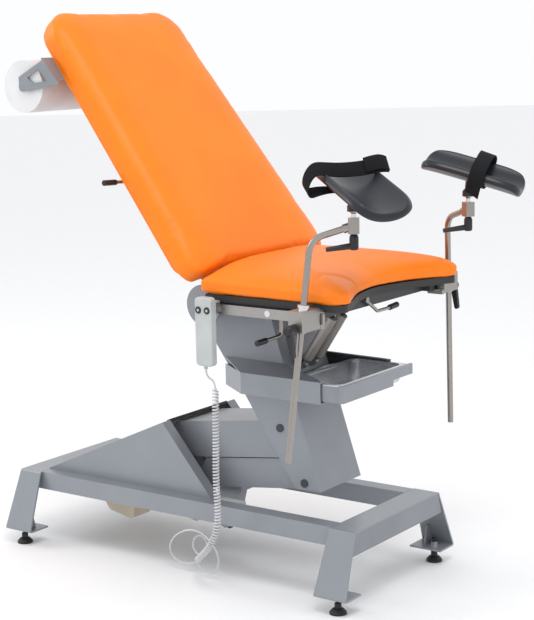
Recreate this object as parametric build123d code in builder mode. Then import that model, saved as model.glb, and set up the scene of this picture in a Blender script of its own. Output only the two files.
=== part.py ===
from build123d import *
import os
from math import atan2, cos, degrees, hypot, pi, radians, sin, tan

# Electric gynaecological examination chair, in millimetres.
# +X points to the doctor's side (front), +Y to the patient's left, +Z up.
# The origin is on the floor, at the centre of the four feet.

# ---------------------------------------------------------------- driving dimensions
BASE_LENGTH = 1068          # between the centres of the two leg frames
TOP_Z = 207                 # top of the base frame
TOP_HALF_Y = 210            # half width of a leg frame's top
TOP_WIDTH_X = 76            # width of a leg frame's top plate
LEG_WIDTH_X = 96            # width of a leg where it meets the floor tab
LEG_HALF_Y = 275.5          # half width over the legs at the floor tab
TAB_Z = 42                  # underside of the floor tab
TAB_INNER_Y = 200           # inner end of the floor tab
SHEET = 5                   # leg frame sheet
ACTUATOR_REAR = (-455, 175)  # rear pivot of the lift actuator, X and Z
FOOT_X = BASE_LENGTH / 2 + 5
FOOT_Y = 241

RAIL_SECTION = (45, 50)     # width (Y) and height (Z) of a base rail
RAIL_OUTER_Y = 203
RAIL_WALL = 3

RAMP_OUTLINE = [(-507, TOP_Z), (-76, 397), (85, TOP_Z)]
RAMP_HALF_Y = 164
RAMP_SHEET = 3
RAMP_LIP = 34               # width of the folded lip on each side of the ramp's mouth

ARM_LENGTH = 343            # between the two pivots of a lift arm
ARM_ANGLE = 7.3             # slope of the lift arms in the modelled pose
UPPER_BASE = (-70, 368)     # base pivots, X and Z
LOWER_BASE = (5, 229)
ARM_PIN_R = 8
FIT = 0.05                  # radial running clearance
OPEN_FIT = 0.3              # radial clearance at the opened lower pivot

TILT_AXIS = (60, 716)       # seat tilt hinge, X and Z
RECLINE_AXIS = (110, 742)   # backrest hinge, X and Z
RECLINE_ANGLE = 52.2        # backrest slope in the modelled pose
COLUMN_HALF_Y = 98
COLUMN_SHEET = 4

SEAT_BOTTOM_Z = 790
SEAT_TOP_Z = 860
SEAT_HALF_Y = 305
BOARD = 18                  # thickness of the seat and backrest boards

BACK_LOW, BACK_HIGH = 60, 892         # backrest pad, measured up the back from its hinge
BACK_PAD = (60.5, 118.5)              # rear and front faces of the pad, out from the hinge
BACK_HALF_LOW, BACK_HALF_HIGH = 306, 265

SIDE_RAIL_Y = 300           # outer face of the accessory rail
SIDE_RAIL = (10, 25)        # standard 25 x 10 mm accessory rail
SIDE_RAIL_X = (182, 545)
SIDE_RAIL_Z = 757

ROD_R = 8                   # leg rest rod
RAIL_BOLTS_X = (240, 381, 478)
CORD_D = 5
COIL_D = 19
FOOT_STEM_R = 5
FOOT_STEM_TOP = 66
FOOT_PROFILE = [(0, 0), (22, 0), (22, 5), (15, 13), (9, 16), (9, 28), (FOOT_STEM_R, 28)]


# ---------------------------------------------------------------- shared helpers
def keep(piece, name):
    """Label a finished piece and write its STEP file."""
    piece.part.label = name
    export_step(piece.part, f"parts/{name}.step")


def side_plane(origin, angle=0):
    """A plane seen from the patient's right: local x forward along the angle, local y up."""
    a = radians(angle)
    return Plane(origin=(origin[0], 0, origin[1]), x_dir=(cos(a), 0, sin(a)), z_dir=(0, -1, 0))


def polar(origin, angle, distance):
    """The XZ point at a distance from an origin, along an angle in degrees."""
    return origin[0] + distance * cos(radians(angle)), origin[1] + distance * sin(radians(angle))


def away(angle):
    """The unit vector in the XZ plane along an angle in degrees."""
    return Vector(cos(radians(angle)), 0, sin(radians(angle)))


def rounded_path(points, share=0.45):
    """Straight runs joined by arcs; each radius is a share of the shorter run over the half turn."""
    radii = []
    for before, here, after in zip(points, points[1:], points[2:]):
        back, on = Vector(*here) - Vector(*before), Vector(*after) - Vector(*here)
        turn = radians(back.get_angle(on))
        radii.append(share * min(back.length, on.length) / tan(turn / 2))
    return radii


os.makedirs("parts", exist_ok=True)

upper_column = polar(UPPER_BASE, ARM_ANGLE, ARM_LENGTH)
lower_column = polar(LOWER_BASE, ARM_ANGLE, ARM_LENGTH)
upper_arm_plane = side_plane(UPPER_BASE, ARM_ANGLE)
lower_arm_plane = side_plane(LOWER_BASE, ARM_ANGLE)
back_out = away(90 - RECLINE_ANGLE)
back_up = away(180 - RECLINE_ANGLE)
back_origin = Vector(RECLINE_AXIS[0], 0, RECLINE_AXIS[1])
back_face = Plane(origin=back_origin, x_dir=(0, 1, 0), z_dir=back_out)   # local y up the back
back_side = Plane(origin=back_origin, x_dir=back_out, z_dir=(0, -1, 0))  # local x out, y up


# ---------------------------------------------------------------- base: leg frames, webs, rails
def leg_frame(end):
    """Bent-sheet leg frame; end is +1 at the front and -1 at the rear."""
    x = end * BASE_LENGTH / 2
    half = [(TAB_INNER_Y, TAB_Z), (LEG_HALF_Y, TAB_Z), (TOP_HALF_Y, TOP_Z)]
    mirrored = [(-y, z) for y, z in reversed(half)]
    with BuildPart() as frame:
        with BuildSketch(Plane.YZ.offset(x - LEG_WIDTH_X / 2)):
            with BuildLine():
                FilletPolyline(*half, *mirrored, radius=SHEET + 1)
                offset(amount=SHEET, side=Side.LEFT)
            make_face()
        extrude(amount=LEG_WIDTH_X)
        with BuildSketch(Plane.XZ):
            Polygon(
                (x - LEG_WIDTH_X / 2, TAB_Z - 10),
                (x + LEG_WIDTH_X / 2, TAB_Z - 10),
                (x + LEG_WIDTH_X / 2, TAB_Z),
                (x + TOP_WIDTH_X / 2, TOP_Z),
                (x - TOP_WIDTH_X / 2, TOP_Z),
                (x - LEG_WIDTH_X / 2, TAB_Z),
                align=None,
            )
        extrude(amount=LEG_HALF_Y + 10, both=True, mode=Mode.INTERSECT)
        # a small upright gusset in each floor tab's corner
        with BuildSketch(Plane.YZ.offset(x - end * 20)):
            gusset = [(226, TAB_Z + 4), (270, TAB_Z + 4), (251, TAB_Z + 55), (238, TAB_Z + 55)]
            Polygon(*gusset, align=None)
            Polygon(*[(-y, z) for y, z in gusset], align=None)
        extrude(amount=SHEET)
        with Locations((end * FOOT_X, FOOT_Y, TAB_Z), (end * FOOT_X, -FOOT_Y, TAB_Z)):
            Hole(FOOT_STEM_R + FIT, 2 * SHEET)
        # flange folded down along the outer edge of the top plate
        drop = 60
        flare = drop * (LEG_HALF_Y - TOP_HALF_Y) / (TOP_Z - TAB_Z)
        inner = end * (BASE_LENGTH / 2 + TOP_WIDTH_X / 2 - SHEET)
        with BuildSketch(Plane.YZ.offset(min(inner, inner + end * SHEET))):
            Polygon(
                (-TOP_HALF_Y + 4, TOP_Z - SHEET),
                (TOP_HALF_Y - 4, TOP_Z - SHEET),
                (TOP_HALF_Y - 5 + flare, TOP_Z - drop),
                (-TOP_HALF_Y + 5 - flare, TOP_Z - drop),
                align=None,
            )
        extrude(amount=SHEET)
        if end < 0:
            # fork for the lift actuator, welded under the rear top plate
            with BuildSketch(Plane.XZ):
                Polygon((-520, 203), (-440, 203), (-440, 165), (-470, 165), (-520, 195), align=None)
            extrude(amount=21, both=True)
            with BuildSketch(Plane.XZ):
                Polygon((-530, 197), (-430, 197), (-430, 150), (-530, 150), align=None)
            extrude(amount=16, both=True, mode=Mode.SUBTRACT)
            with BuildSketch(Plane.XZ):
                with Locations(ACTUATOR_REAR):
                    Circle(6)
            extrude(amount=21, both=True)
    return frame




for end, name in ((1, "front"), (-1, "rear")):
    keep(leg_frame(end), f"{name}_leg_frame")

with BuildPart() as levelling_feet:
    for x in (-FOOT_X, FOOT_X):
        for y in (-FOOT_Y, FOOT_Y):
            with BuildSketch(Plane(origin=(x, y, 0), x_dir=(1, 0, 0), z_dir=(0, -1, 0))):
                Polygon(*FOOT_PROFILE, (FOOT_STEM_R, FOOT_STEM_TOP), (0, FOOT_STEM_TOP), align=None)
            revolve(axis=Axis((x, y, 0), (0, 0, 1)))
keep(levelling_feet, "levelling_feet")

with BuildPart() as base_rails:
    width, height = RAIL_SECTION
    length = BASE_LENGTH + TOP_WIDTH_X - 2 * SHEET - 2
    inner_gap = BASE_LENGTH - TOP_WIDTH_X - 2
    for side in (-1, 1):
        y = side * (RAIL_OUTER_Y - width / 2)
        with Locations((0, y, TOP_Z - height / 2)):
            Box(length, width, height)
            Box(length, width - 2 * RAIL_WALL, height - 2 * RAIL_WALL, mode=Mode.SUBTRACT)
        # the top plate of each leg frame sits in a notch
        with Locations((inner_gap, y, TOP_Z), (-inner_gap, y, TOP_Z)):
            Box(inner_gap, width, 2 * SHEET, mode=Mode.SUBTRACT)
keep(base_rails, "base_rails")

with BuildPart() as foot_nuts:
    with BuildSketch(Plane.XY.offset(TAB_Z + SHEET)):
        with GridLocations(2 * FOOT_X, 2 * FOOT_Y, 2, 2):
            RegularPolygon(radius=9.8, side_count=6)
            Circle(FOOT_STEM_R + FIT, mode=Mode.SUBTRACT)
    extrude(amount=8)
keep(foot_nuts, "foot_nuts")

# ---------------------------------------------------------------- base: ramp cover and pivot tower
mouth_half = RAMP_HALF_Y - RAMP_LIP
with BuildPart() as ramp_cover:
    skirt = [(RAMP_OUTLINE[0][0] - 20, TOP_Z - 9), (RAMP_OUTLINE[2][0] + 8, TOP_Z - 9)]
    with BuildSketch(Plane.XZ):
        Polygon(skirt[0], RAMP_OUTLINE[1], skirt[1], align=None)
    extrude(amount=RAMP_HALF_Y, both=True)
    with BuildSketch(Plane.XZ):
        Polygon(skirt[0], RAMP_OUTLINE[1], skirt[1], align=None)
        offset(amount=-RAMP_SHEET)
    extrude(amount=RAMP_HALF_Y - RAMP_SHEET, both=True, mode=Mode.SUBTRACT)
    split(bisect_by=Plane.XY.offset(TOP_Z), keep=Keep.TOP)
    # the mouth that the lift arms come out of
    with BuildSketch(Plane.XZ):
        Polygon((-80, 397), (-60, 430), (130, TOP_Z - 5), (77, TOP_Z - 5), align=None)
    extrude(amount=mouth_half, both=True, mode=Mode.SUBTRACT)
keep(ramp_cover, "ramp_cover")

ramp_slope = degrees(atan2(RAMP_OUTLINE[1][1] - TOP_Z, RAMP_OUTLINE[1][0] - RAMP_OUTLINE[0][0]))
with BuildPart() as ramp_trim:
    with BuildSketch(side_plane((-80, 395), ramp_slope)):
        with Locations((-2, -1)):
            Rectangle(13, 8)
        with Locations((-5, -1.5)):
            Rectangle(16, 5, mode=Mode.SUBTRACT)
    extrude(amount=mouth_half - 1, both=True)
keep(ramp_trim, "ramp_edge_trim")

CHEEK_IN, CHEEK_OUT = 68, 74
UPPER_WALL = (83, 86)       # inner and outer half width of the upper arm's channel
LOWER_WALL = (78, 81)       # the lower arm nests inside it
with BuildPart() as pivot_tower:
    with BuildSketch(Plane.XZ) as cheek:
        with Locations(UPPER_BASE):
            Circle(13)
        with Locations(LOWER_BASE):
            Circle(20)
        with Locations((-60, 170)):
            Rectangle(180, 10)
        make_hull()
    extrude(amount=CHEEK_OUT, both=True)
    extrude(cheek.sketch, amount=CHEEK_IN, both=True, mode=Mode.SUBTRACT)
    rail_inner_y = RAIL_OUTER_Y - RAIL_SECTION[0]
    with Locations((-60, 0, 170)):
        Box(180, 2 * rail_inner_y, 10)
    # the crank under the lower arm swings through this gap
    with Locations((0, 0, 170)):
        Box(120, 2 * CHEEK_IN - 4, 20, mode=Mode.SUBTRACT)
    # the two pivot pins are welded through the cheeks
    for pivot, half in ((UPPER_BASE, UPPER_WALL[1] + 3), (LOWER_BASE, LOWER_WALL[1] + 2)):
        with BuildSketch(side_plane(pivot)):
            Circle(ARM_PIN_R)
        extrude(amount=half, both=True)
keep(pivot_tower, "pivot_tower")

# ---------------------------------------------------------------- lift arms
with BuildPart() as upper_arm:
    wall = [(-17, 18), (ARM_LENGTH + 10, 18), (ARM_LENGTH + 24, 6), (ARM_LENGTH + 24, -12)]
    wall += [(ARM_LENGTH - 20, -82), (36, -82), (-22, -26)]
    with BuildSketch(upper_arm_plane) as upper_side:
        Polygon(*wall, align=None)
        fillet(upper_side.vertices(), 7)
    extrude(amount=UPPER_WALL[1], both=True)
    extrude(upper_side.sketch, amount=UPPER_WALL[0], both=True, mode=Mode.SUBTRACT)
    with BuildSketch(upper_arm_plane):
        with Locations(((ARM_LENGTH + 10) / 2, 16.5)):
            Rectangle(ARM_LENGTH - 14, 3)
    extrude(amount=UPPER_WALL[1], both=True)
    with BuildSketch(upper_arm_plane):
        with Locations((0, 0), (ARM_LENGTH, 0)):
            Circle(ARM_PIN_R + FIT)
    extrude(amount=UPPER_WALL[1], both=True, mode=Mode.SUBTRACT)
keep(upper_arm, "upper_lift_arm")

CRANK_PIN = (13, 90)
CRANK_HALF = 15
with BuildPart() as lower_arm:
    wall = [(-20, -19), (ARM_LENGTH + 6, -19), (ARM_LENGTH + 18, -8), (ARM_LENGTH + 18, 8)]
    wall += [(ARM_LENGTH + 4, 20), (ARM_LENGTH - 45, 62), (12, 62), (-20, 18)]
    with BuildSketch(lower_arm_plane) as lower_side:
        Polygon(*wall, align=None)
        fillet(lower_side.vertices(), 5)
    extrude(amount=LOWER_WALL[1], both=True)
    extrude(lower_side.sketch, amount=LOWER_WALL[0], both=True, mode=Mode.SUBTRACT)
    # the bottom plate narrows where it passes between the tower's cheeks
    for start, half in ((64, LOWER_WALL[1]), (14, CHEEK_IN - 4)):
        with BuildSketch(lower_arm_plane):
            with Locations(((start + ARM_LENGTH - 40) / 2, -17.5)):
                Rectangle(ARM_LENGTH - 40 - start, 3)
        extrude(amount=half, both=True)
    # crank hanging below the arm, a channel open to the rear
    with BuildSketch(Plane.XZ):
        Polygon((2, 213), (80, 221), (78, 201), (46, 86), (13, 74), (-6, 86), align=None)
    extrude(amount=CRANK_HALF, both=True)
    with BuildSketch(Plane.XZ):
        Polygon((-20, 204), (66, 214), (66, 200), (40, 110), (40, 60), (-20, 60), align=None)
    extrude(amount=CRANK_HALF - 4, both=True, mode=Mode.SUBTRACT)
    with BuildSketch(lower_arm_plane):
        with Locations((0, 0)):
            Circle(ARM_PIN_R + FIT)
        with Locations((ARM_LENGTH, 0)):
            Circle(ARM_PIN_R + OPEN_FIT)
    extrude(amount=LOWER_WALL[1], both=True, mode=Mode.SUBTRACT)
    with BuildSketch(side_plane(CRANK_PIN)):
        Circle(6)
    extrude(amount=CRANK_HALF, both=True)
keep(lower_arm, "lower_lift_arm")

# ---------------------------------------------------------------- lift actuator
actuator_angle = degrees(atan2(CRANK_PIN[1] - ACTUATOR_REAR[1], CRANK_PIN[0] - ACTUATOR_REAR[0]))
actuator_length = hypot(CRANK_PIN[0] - ACTUATOR_REAR[0], CRANK_PIN[1] - ACTUATOR_REAR[1])
actuator_plane = side_plane(ACTUATOR_REAR, actuator_angle)
actuator_run = away(actuator_angle)
PUSH_ROD_R = 10

with BuildPart() as actuator_body:
    # rear eye, gear head with the motor under it, outer tube and end cap
    with BuildSketch(actuator_plane):
        with Locations((35, 0)):
            SlotCenterToCenter(70, 28)
    extrude(amount=14, both=True)
    with BuildSketch(actuator_plane):
        Polygon((42, 34), (158, 34), (172, 24), (172, -92), (84, -92), (50, -60), align=None)
    extrude(amount=38, both=True)
    fillet(actuator_body.edges().filter_by(Axis.Y), 8)
    outer_tube = Plane(origin=Vector(ACTUATOR_REAR[0], 0, ACTUATOR_REAR[1]), z_dir=actuator_run)
    with BuildSketch(outer_tube.offset(165)):
        Circle(30)
    extrude(amount=190)
    with BuildSketch(outer_tube.offset(352)):
        Circle(34)
    extrude(amount=24)
    with BuildSketch(outer_tube.offset(195)):
        Circle(PUSH_ROD_R + FIT)
    extrude(amount=200, mode=Mode.SUBTRACT)
    with BuildSketch(actuator_plane):
        Circle(6 + FIT)
    extrude(amount=20, both=True, mode=Mode.SUBTRACT)
keep(actuator_body, "actuator_body")

with BuildPart() as push_rod:
    # far enough inside the tube to stay guided at full stroke, and clear of the gears when drawn in
    rod_start = 268
    with BuildSketch(outer_tube.offset(rod_start)):
        Circle(PUSH_ROD_R)
    extrude(amount=actuator_length - rod_start - 20)
    # fork eye, slotted so the crank pin can rise and fall
    with BuildSketch(actuator_plane):
        with Locations((actuator_length - 4, 6)):
            Rectangle(42, 42)
    extrude(amount=8, both=True)
    with BuildSketch(actuator_plane):
        with Locations((actuator_length + 1.2, 6)):
            RectangleRounded(21, 32, 7)
    extrude(amount=8, both=True, mode=Mode.SUBTRACT)
keep(push_rod, "actuator_push_rod")

# ---------------------------------------------------------------- column
COLUMN_OUTLINE = [(317, 253), (395, 255), (321, 480), (284, 587), (249, 700)]
COLUMN_REAR = [(17, 692), (70, 614), (158, 490)]
SHAFT_R = 15
SHAFT_HALF = 142
SPRING_Y = 25
SPRING_FOOT = (300, 572)
with BuildPart() as column:
    with BuildSketch(Plane.XZ) as column_side:
        Polygon(*COLUMN_OUTLINE, (17, 700), *COLUMN_REAR, align=None)
        with Locations(TILT_AXIS):
            Circle(39)
    extrude(amount=COLUMN_HALF_Y, both=True)
    with BuildSketch(Plane.XZ):
        Polygon(
            (300, 200), (380, 220), (316.5, 480), (280, 587), (243, 704), (243, 800), (-100, 800),
            *COLUMN_REAR, align=None,
        )
    extrude(amount=COLUMN_HALF_Y - COLUMN_SHEET, both=True, mode=Mode.SUBTRACT)
    with BuildSketch(Plane.XZ):
        with Locations(upper_column, lower_column):
            Circle(ARM_PIN_R)
    extrude(amount=COLUMN_HALF_Y + 5, both=True, mode=Mode.SUBTRACT)
    # the seat's tilt shaft runs through the head of the column
    with BuildSketch(side_plane(TILT_AXIS)):
        Circle(SHAFT_R)
        Circle(SHAFT_R - 4, mode=Mode.SUBTRACT)
    extrude(amount=SHAFT_HALF, both=True)
    # a pair of ears and a pin for the foot of each gas spring
    for y in (-SPRING_Y, SPRING_Y):
        for start, depth in ((5, 4), (-9, 4)):
            with BuildSketch(Plane.XZ.offset(-(y + start))):
                Polygon((289, 563), (280, 595), (300, 582), (309, 572), (300, 562), align=None)
            extrude(amount=-depth)
        with BuildSketch(Plane.XZ.offset(-(y - 9))):
            with Locations(SPRING_FOOT):
                Circle(4)
        extrude(amount=-18)
keep(column, "column_shell")

with BuildPart() as column_cover:
    with BuildSketch(Plane.XZ):
        with BuildLine():
            Polyline((158, 490), (70, 614), (24, 682))
            offset(amount=3, side=Side.RIGHT)
        make_face()
    extrude(amount=COLUMN_HALF_Y - COLUMN_SHEET, both=True)
keep(column_cover, "column_rear_cover")

with BuildPart() as column_pins:
    for pivot in (upper_column, lower_column):
        with BuildSketch(side_plane(pivot)):
            Circle(ARM_PIN_R)
        extrude(amount=COLUMN_HALF_Y, both=True)
        for side in (-1, 1):
            with BuildSketch(Plane.XZ.offset(-side * (COLUMN_HALF_Y + 1.5))):
                with Locations(pivot):
                    Circle(11)
            extrude(amount=1.5, both=True)
keep(column_pins, "column_pivot_pins")

# ---------------------------------------------------------------- tray housing and tray
HOUSING_HALF = 171
HOUSING_Z = (513, 567)
HOUSING_PLAN = [(95, 98), (199, HOUSING_HALF), (448, HOUSING_HALF)]
SKIN = 3
low, high = HOUSING_Z
with BuildPart() as sloping_top:
    with BuildSketch(Plane.YZ.offset(80)):
        for side in (-1, 1):
            Polygon(
                (side * HOUSING_HALF, high - SKIN), (side * HOUSING_HALF, high),
                (side * COLUMN_HALF_Y, high + 20), (side * COLUMN_HALF_Y, high + 20 - SKIN),
                align=None,
            )
    extrude(amount=380)
    with BuildSketch(Plane.XY.offset(high - 5)):
        for side in (-1, 1):
            corners = HOUSING_PLAN + [(440, 160), (290, 98)]
            Polygon(*[(x, side * y) for x, y in corners], align=None)
    extrude(amount=60, mode=Mode.INTERSECT)

with BuildPart() as tray_housing:
    whole = HOUSING_PLAN + [(x, -y) for x, y in reversed(HOUSING_PLAN)]
    inside = [(97, 95), (200, HOUSING_HALF - SKIN), (460, HOUSING_HALF - SKIN)]
    with BuildSketch(Plane.XY.offset(low - SKIN)):
        Polygon(*whole, align=None)
    extrude(amount=high - low + SKIN)
    with BuildSketch(Plane.XY.offset(low)):
        Polygon(*inside, *[(x, -y) for x, y in reversed(inside)], align=None)
    extrude(amount=high - low + 10, mode=Mode.SUBTRACT)
    # the column stands through the middle
    with BuildSketch(Plane.XZ):
        Polygon((60, 480), (323, 480), (288, 587), (60, 587), align=None)
    extrude(amount=COLUMN_HALF_Y, both=True, mode=Mode.SUBTRACT)
    add(sloping_top.part)
keep(tray_housing, "tray_housing")

TRAY_X = (329, 505)
TRAY_HALF = 165
TRAY_RIM_Z = 562
with BuildPart() as tray:
    basin_centre = ((TRAY_X[0] + TRAY_X[1]) / 2, 0)
    basin_length = TRAY_X[1] - TRAY_X[0]
    with BuildSketch(Plane.XY.offset(516)):
        with Locations(basin_centre):
            RectangleRounded(basin_length - 18, 2 * TRAY_HALF - 18, 28)
    extrude(amount=TRAY_RIM_Z - 516)
    fillet(tray.faces().sort_by(Axis.Z)[0].edges(), 8)
    with BuildSketch(Plane.XY.offset(TRAY_RIM_Z - 2)):
        with Locations(basin_centre):
            RectangleRounded(basin_length, 2 * TRAY_HALF, 12)
    extrude(amount=2)
    with BuildSketch(Plane.XY.offset(TRAY_RIM_Z - 8)):
        with Locations(basin_centre):
            RectangleRounded(basin_length - 20, 2 * TRAY_HALF - 20, 27)
    extrude(amount=8, mode=Mode.SUBTRACT)
    with BuildSketch(Plane.XY.offset(518)):
        with Locations(basin_centre):
            RectangleRounded(basin_length - 26, 2 * TRAY_HALF - 26, 24)
    extrude(amount=TRAY_RIM_Z - 518, mode=Mode.SUBTRACT)
keep(tray, "instrument_tray")

with BuildPart() as drawer:
    # steel carrier under the basin's rim, with the folded fascia across its front
    for side in (-1, 1):
        with Locations(((TRAY_X[0] + 2 + TRAY_X[1]) / 2, side * (TRAY_HALF - 1.5), 539)):
            Box(TRAY_X[1] - TRAY_X[0] - 2, 3, 42)
    with BuildSketch(Plane.XY.offset(520)) as fascia:
        with Locations((511, 0)):
            Rectangle(12, 350)
        fillet(fascia.vertices().group_by(Axis.X)[-1], 10)
        with Locations((509, 0)):
            Rectangle(10, 340, mode=Mode.SUBTRACT)
    extrude(amount=42)
    with BuildSketch(Plane.XY.offset(560)):
        with Locations((510, 0)):
            Rectangle(10, 342)
    extrude(amount=2)
    with BuildSketch(Plane.XY.offset(520)):
        with Locations((506, 0)):
            Rectangle(2, 330)
    extrude(amount=42)
    with Locations((500, 125, 526)):
        Box(60, 110, 20, mode=Mode.SUBTRACT)
keep(drawer, "tray_drawer_front")

# ---------------------------------------------------------------- seat tilt gas springs
SPRING_HEAD = (420, 750)
spring_angle = degrees(atan2(SPRING_HEAD[1] - SPRING_FOOT[1], SPRING_HEAD[0] - SPRING_FOOT[0]))
spring_length = hypot(SPRING_HEAD[0] - SPRING_FOOT[0], SPRING_HEAD[1] - SPRING_FOOT[1])
CYLINDER_END = 162
SPRING_ROD_R = 5
PISTON_AT = 74              # low enough in the cylinder for the whole tilt


def revolved(profile, origin, direction):
    """A solid of revolution: profile points are (radius, distance along the direction)."""
    helper = Vector(0, 1, 0) if abs(direction.Y) < 0.9 else Vector(1, 0, 0)
    across = helper.cross(direction).normalized()
    with BuildPart() as piece:
        with BuildSketch(Plane(origin=origin, x_dir=across, z_dir=across.cross(direction))):
            Polygon(*profile, align=None)
        revolve(axis=Axis(origin, direction))
    return piece


for side, hand in ((-1, "right"), (1, "left")):
    foot = Vector(SPRING_FOOT[0], side * SPRING_Y, SPRING_FOOT[1])
    with BuildPart() as cylinder:
        shell = [(0, 6), (4, 6), (4, 15), (9, 15), (14, 23), (14, CYLINDER_END)]
        shell += [(SPRING_ROD_R + FIT, CYLINDER_END), (SPRING_ROD_R + FIT, CYLINDER_END - 8)]
        shell += [(11.5, CYLINDER_END - 8), (11.5, 30), (0, 30)]
        add(revolved(shell, foot, away(spring_angle)).part)
        with BuildSketch(Plane.XZ.offset(-foot.Y)):
            with Locations(SPRING_FOOT):
                Circle(9)
        extrude(amount=4.5, both=True)
        with BuildSketch(Plane.XZ.offset(-foot.Y)):
            with Locations(SPRING_FOOT):
                Circle(4 + FIT)
        extrude(amount=4.5, both=True, mode=Mode.SUBTRACT)
    keep(cylinder, f"{hand}_gas_spring_cylinder")
    with BuildPart() as rod:
        stem = [(0, PISTON_AT), (11.3, PISTON_AT), (11.3, PISTON_AT + 4), (SPRING_ROD_R, PISTON_AT + 4)]
        stem += [(SPRING_ROD_R, spring_length - 8), (0, spring_length - 8)]
        add(revolved(stem, foot, away(spring_angle)).part)
        with BuildSketch(Plane.XZ.offset(-foot.Y)):
            with Locations(SPRING_HEAD):
                Circle(11)
                Circle(6.5, mode=Mode.SUBTRACT)
        extrude(amount=4.5, both=True)
    keep(rod, f"{hand}_gas_spring_rod")

# ---------------------------------------------------------------- seat
ARM_Y = (118, 138)
with BuildPart() as seat_frame:
    with BuildSketch(Plane.XZ) as arm:
        with Locations(TILT_AXIS):
            Circle(26)
        with Locations(RECLINE_AXIS):
            Circle(29)
        make_hull()
        Polygon((110, 732), (230, 732), (230, 771), (110, 771), align=None)
    extrude(amount=ARM_Y[1], both=True)
    extrude(arm.sketch, amount=ARM_Y[0], both=True, mode=Mode.SUBTRACT)
    for side in (-1, 1):
        with Locations((345, side * 267.5, 758)):
            Box(350, 25, 28)
        with Locations((330, side * 190, 758)):
            Box(250, 20, 28)
        # standoffs that carry the accessory rail
        for x in RAIL_BOLTS_X:
            with BuildSketch(Plane.XZ.offset(-side * 280)):
                with Locations((x, SIDE_RAIL_Z)):
                    Circle(9)
            extrude(amount=-side * 10)
    for x, width in ((215, 30), (450, 30), (485, 25)):
        with Locations((x, 0, 758)):
            Box(width, 520, 28)
    # pads for the gas springs' upper pins
    with Locations(*[(427, y, 754) for y in (-35, -15, 15, 35)]):
        Box(30, 5, 22)
    for y in (-SPRING_Y, SPRING_Y):
        with BuildSketch(Plane.XZ.offset(-y)):
            with Locations(SPRING_HEAD):
                Circle(4)
        extrude(amount=12, both=True)
    with BuildSketch(Plane.XZ):
        with Locations(TILT_AXIS, RECLINE_AXIS):
            Circle(SHAFT_R + FIT)
    extrude(amount=ARM_Y[1] + 5, both=True, mode=Mode.SUBTRACT)
keep(seat_frame, "seat_frame")

# ---------------------------------------------------------------- seat board, pad and rails
SEAT_REAR_X = 170
SEAT_FRONT = [(519, 0), (527, 60), (543, 120), (568, 180), (590, 236)]


def seat_outline(inset):
    """Closed seat outline: straight sides and rear, two front lobes and a hollow between."""
    half = SEAT_HALF_Y - 2 * inset
    shift = [(x - inset, y) for x, y in SEAT_FRONT]
    mirrored = [(x, -y) for x, y in reversed(shift[1:])]
    with BuildSketch(mode=Mode.PRIVATE) as outline:
        with BuildLine():
            Spline(*mirrored, *shift)
            tip = (600 - inset, 262)
            Spline(shift[-1], tip, (545 - inset, half), tangents=[(0.5, 1), (-1, 0)])
            Spline(mirrored[0], (tip[0], -tip[1]), (545 - inset, -half), tangents=[(0.5, -1), (-1, 0)])
            Polyline(
                (545 - inset, half), (SEAT_REAR_X + inset, half),
                (SEAT_REAR_X + inset, -half), (545 - inset, -half),
            )
        make_face()
    return outline.sketch


with BuildPart() as seat_board:
    with BuildSketch(Plane.XY.offset(SEAT_BOTTOM_Z - BOARD)):
        add(seat_outline(10))
    extrude(amount=BOARD)
keep(seat_board, "seat_board")

with BuildPart() as seat_pad:
    with BuildSketch(Plane.XY.offset(SEAT_BOTTOM_Z)):
        add(seat_outline(0))
    extrude(amount=SEAT_TOP_Z - SEAT_BOTTOM_Z)
    fillet(seat_pad.faces().sort_by(Axis.Z)[-1].edges(), 18)
keep(seat_pad, "seat_pad")

rail_length = SIDE_RAIL_X[1] - SIDE_RAIL_X[0]
with BuildPart() as side_rails:
    for side in (-1, 1):
        with Locations((sum(SIDE_RAIL_X) / 2, side * (SIDE_RAIL_Y - 5), SIDE_RAIL_Z)):
            Box(rail_length, *SIDE_RAIL)
        for x in RAIL_BOLTS_X:
            screw_at = Plane(origin=(x, side * SIDE_RAIL_Y, SIDE_RAIL_Z), z_dir=(0, side, 0))
            with BuildSketch(screw_at.offset(-10)):
                Circle(4)
            extrude(amount=10, mode=Mode.SUBTRACT)
            with BuildSketch(screw_at.offset(-4)):
                Circle(8)
            extrude(amount=4, mode=Mode.SUBTRACT)
keep(side_rails, "side_rails")

with BuildPart() as rail_screws:
    for side in (-1, 1):
        for x in RAIL_BOLTS_X:
            screw_at = Plane(origin=(x, side * SIDE_RAIL_Y, SIDE_RAIL_Z), z_dir=(0, side, 0))
            with BuildSketch(screw_at.offset(-10)):
                Circle(4)
            extrude(amount=6)
            with BuildSketch(screw_at.offset(-4)):
                Circle(8)
            extrude(amount=3.7)
keep(rail_screws, "rail_screws")

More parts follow.
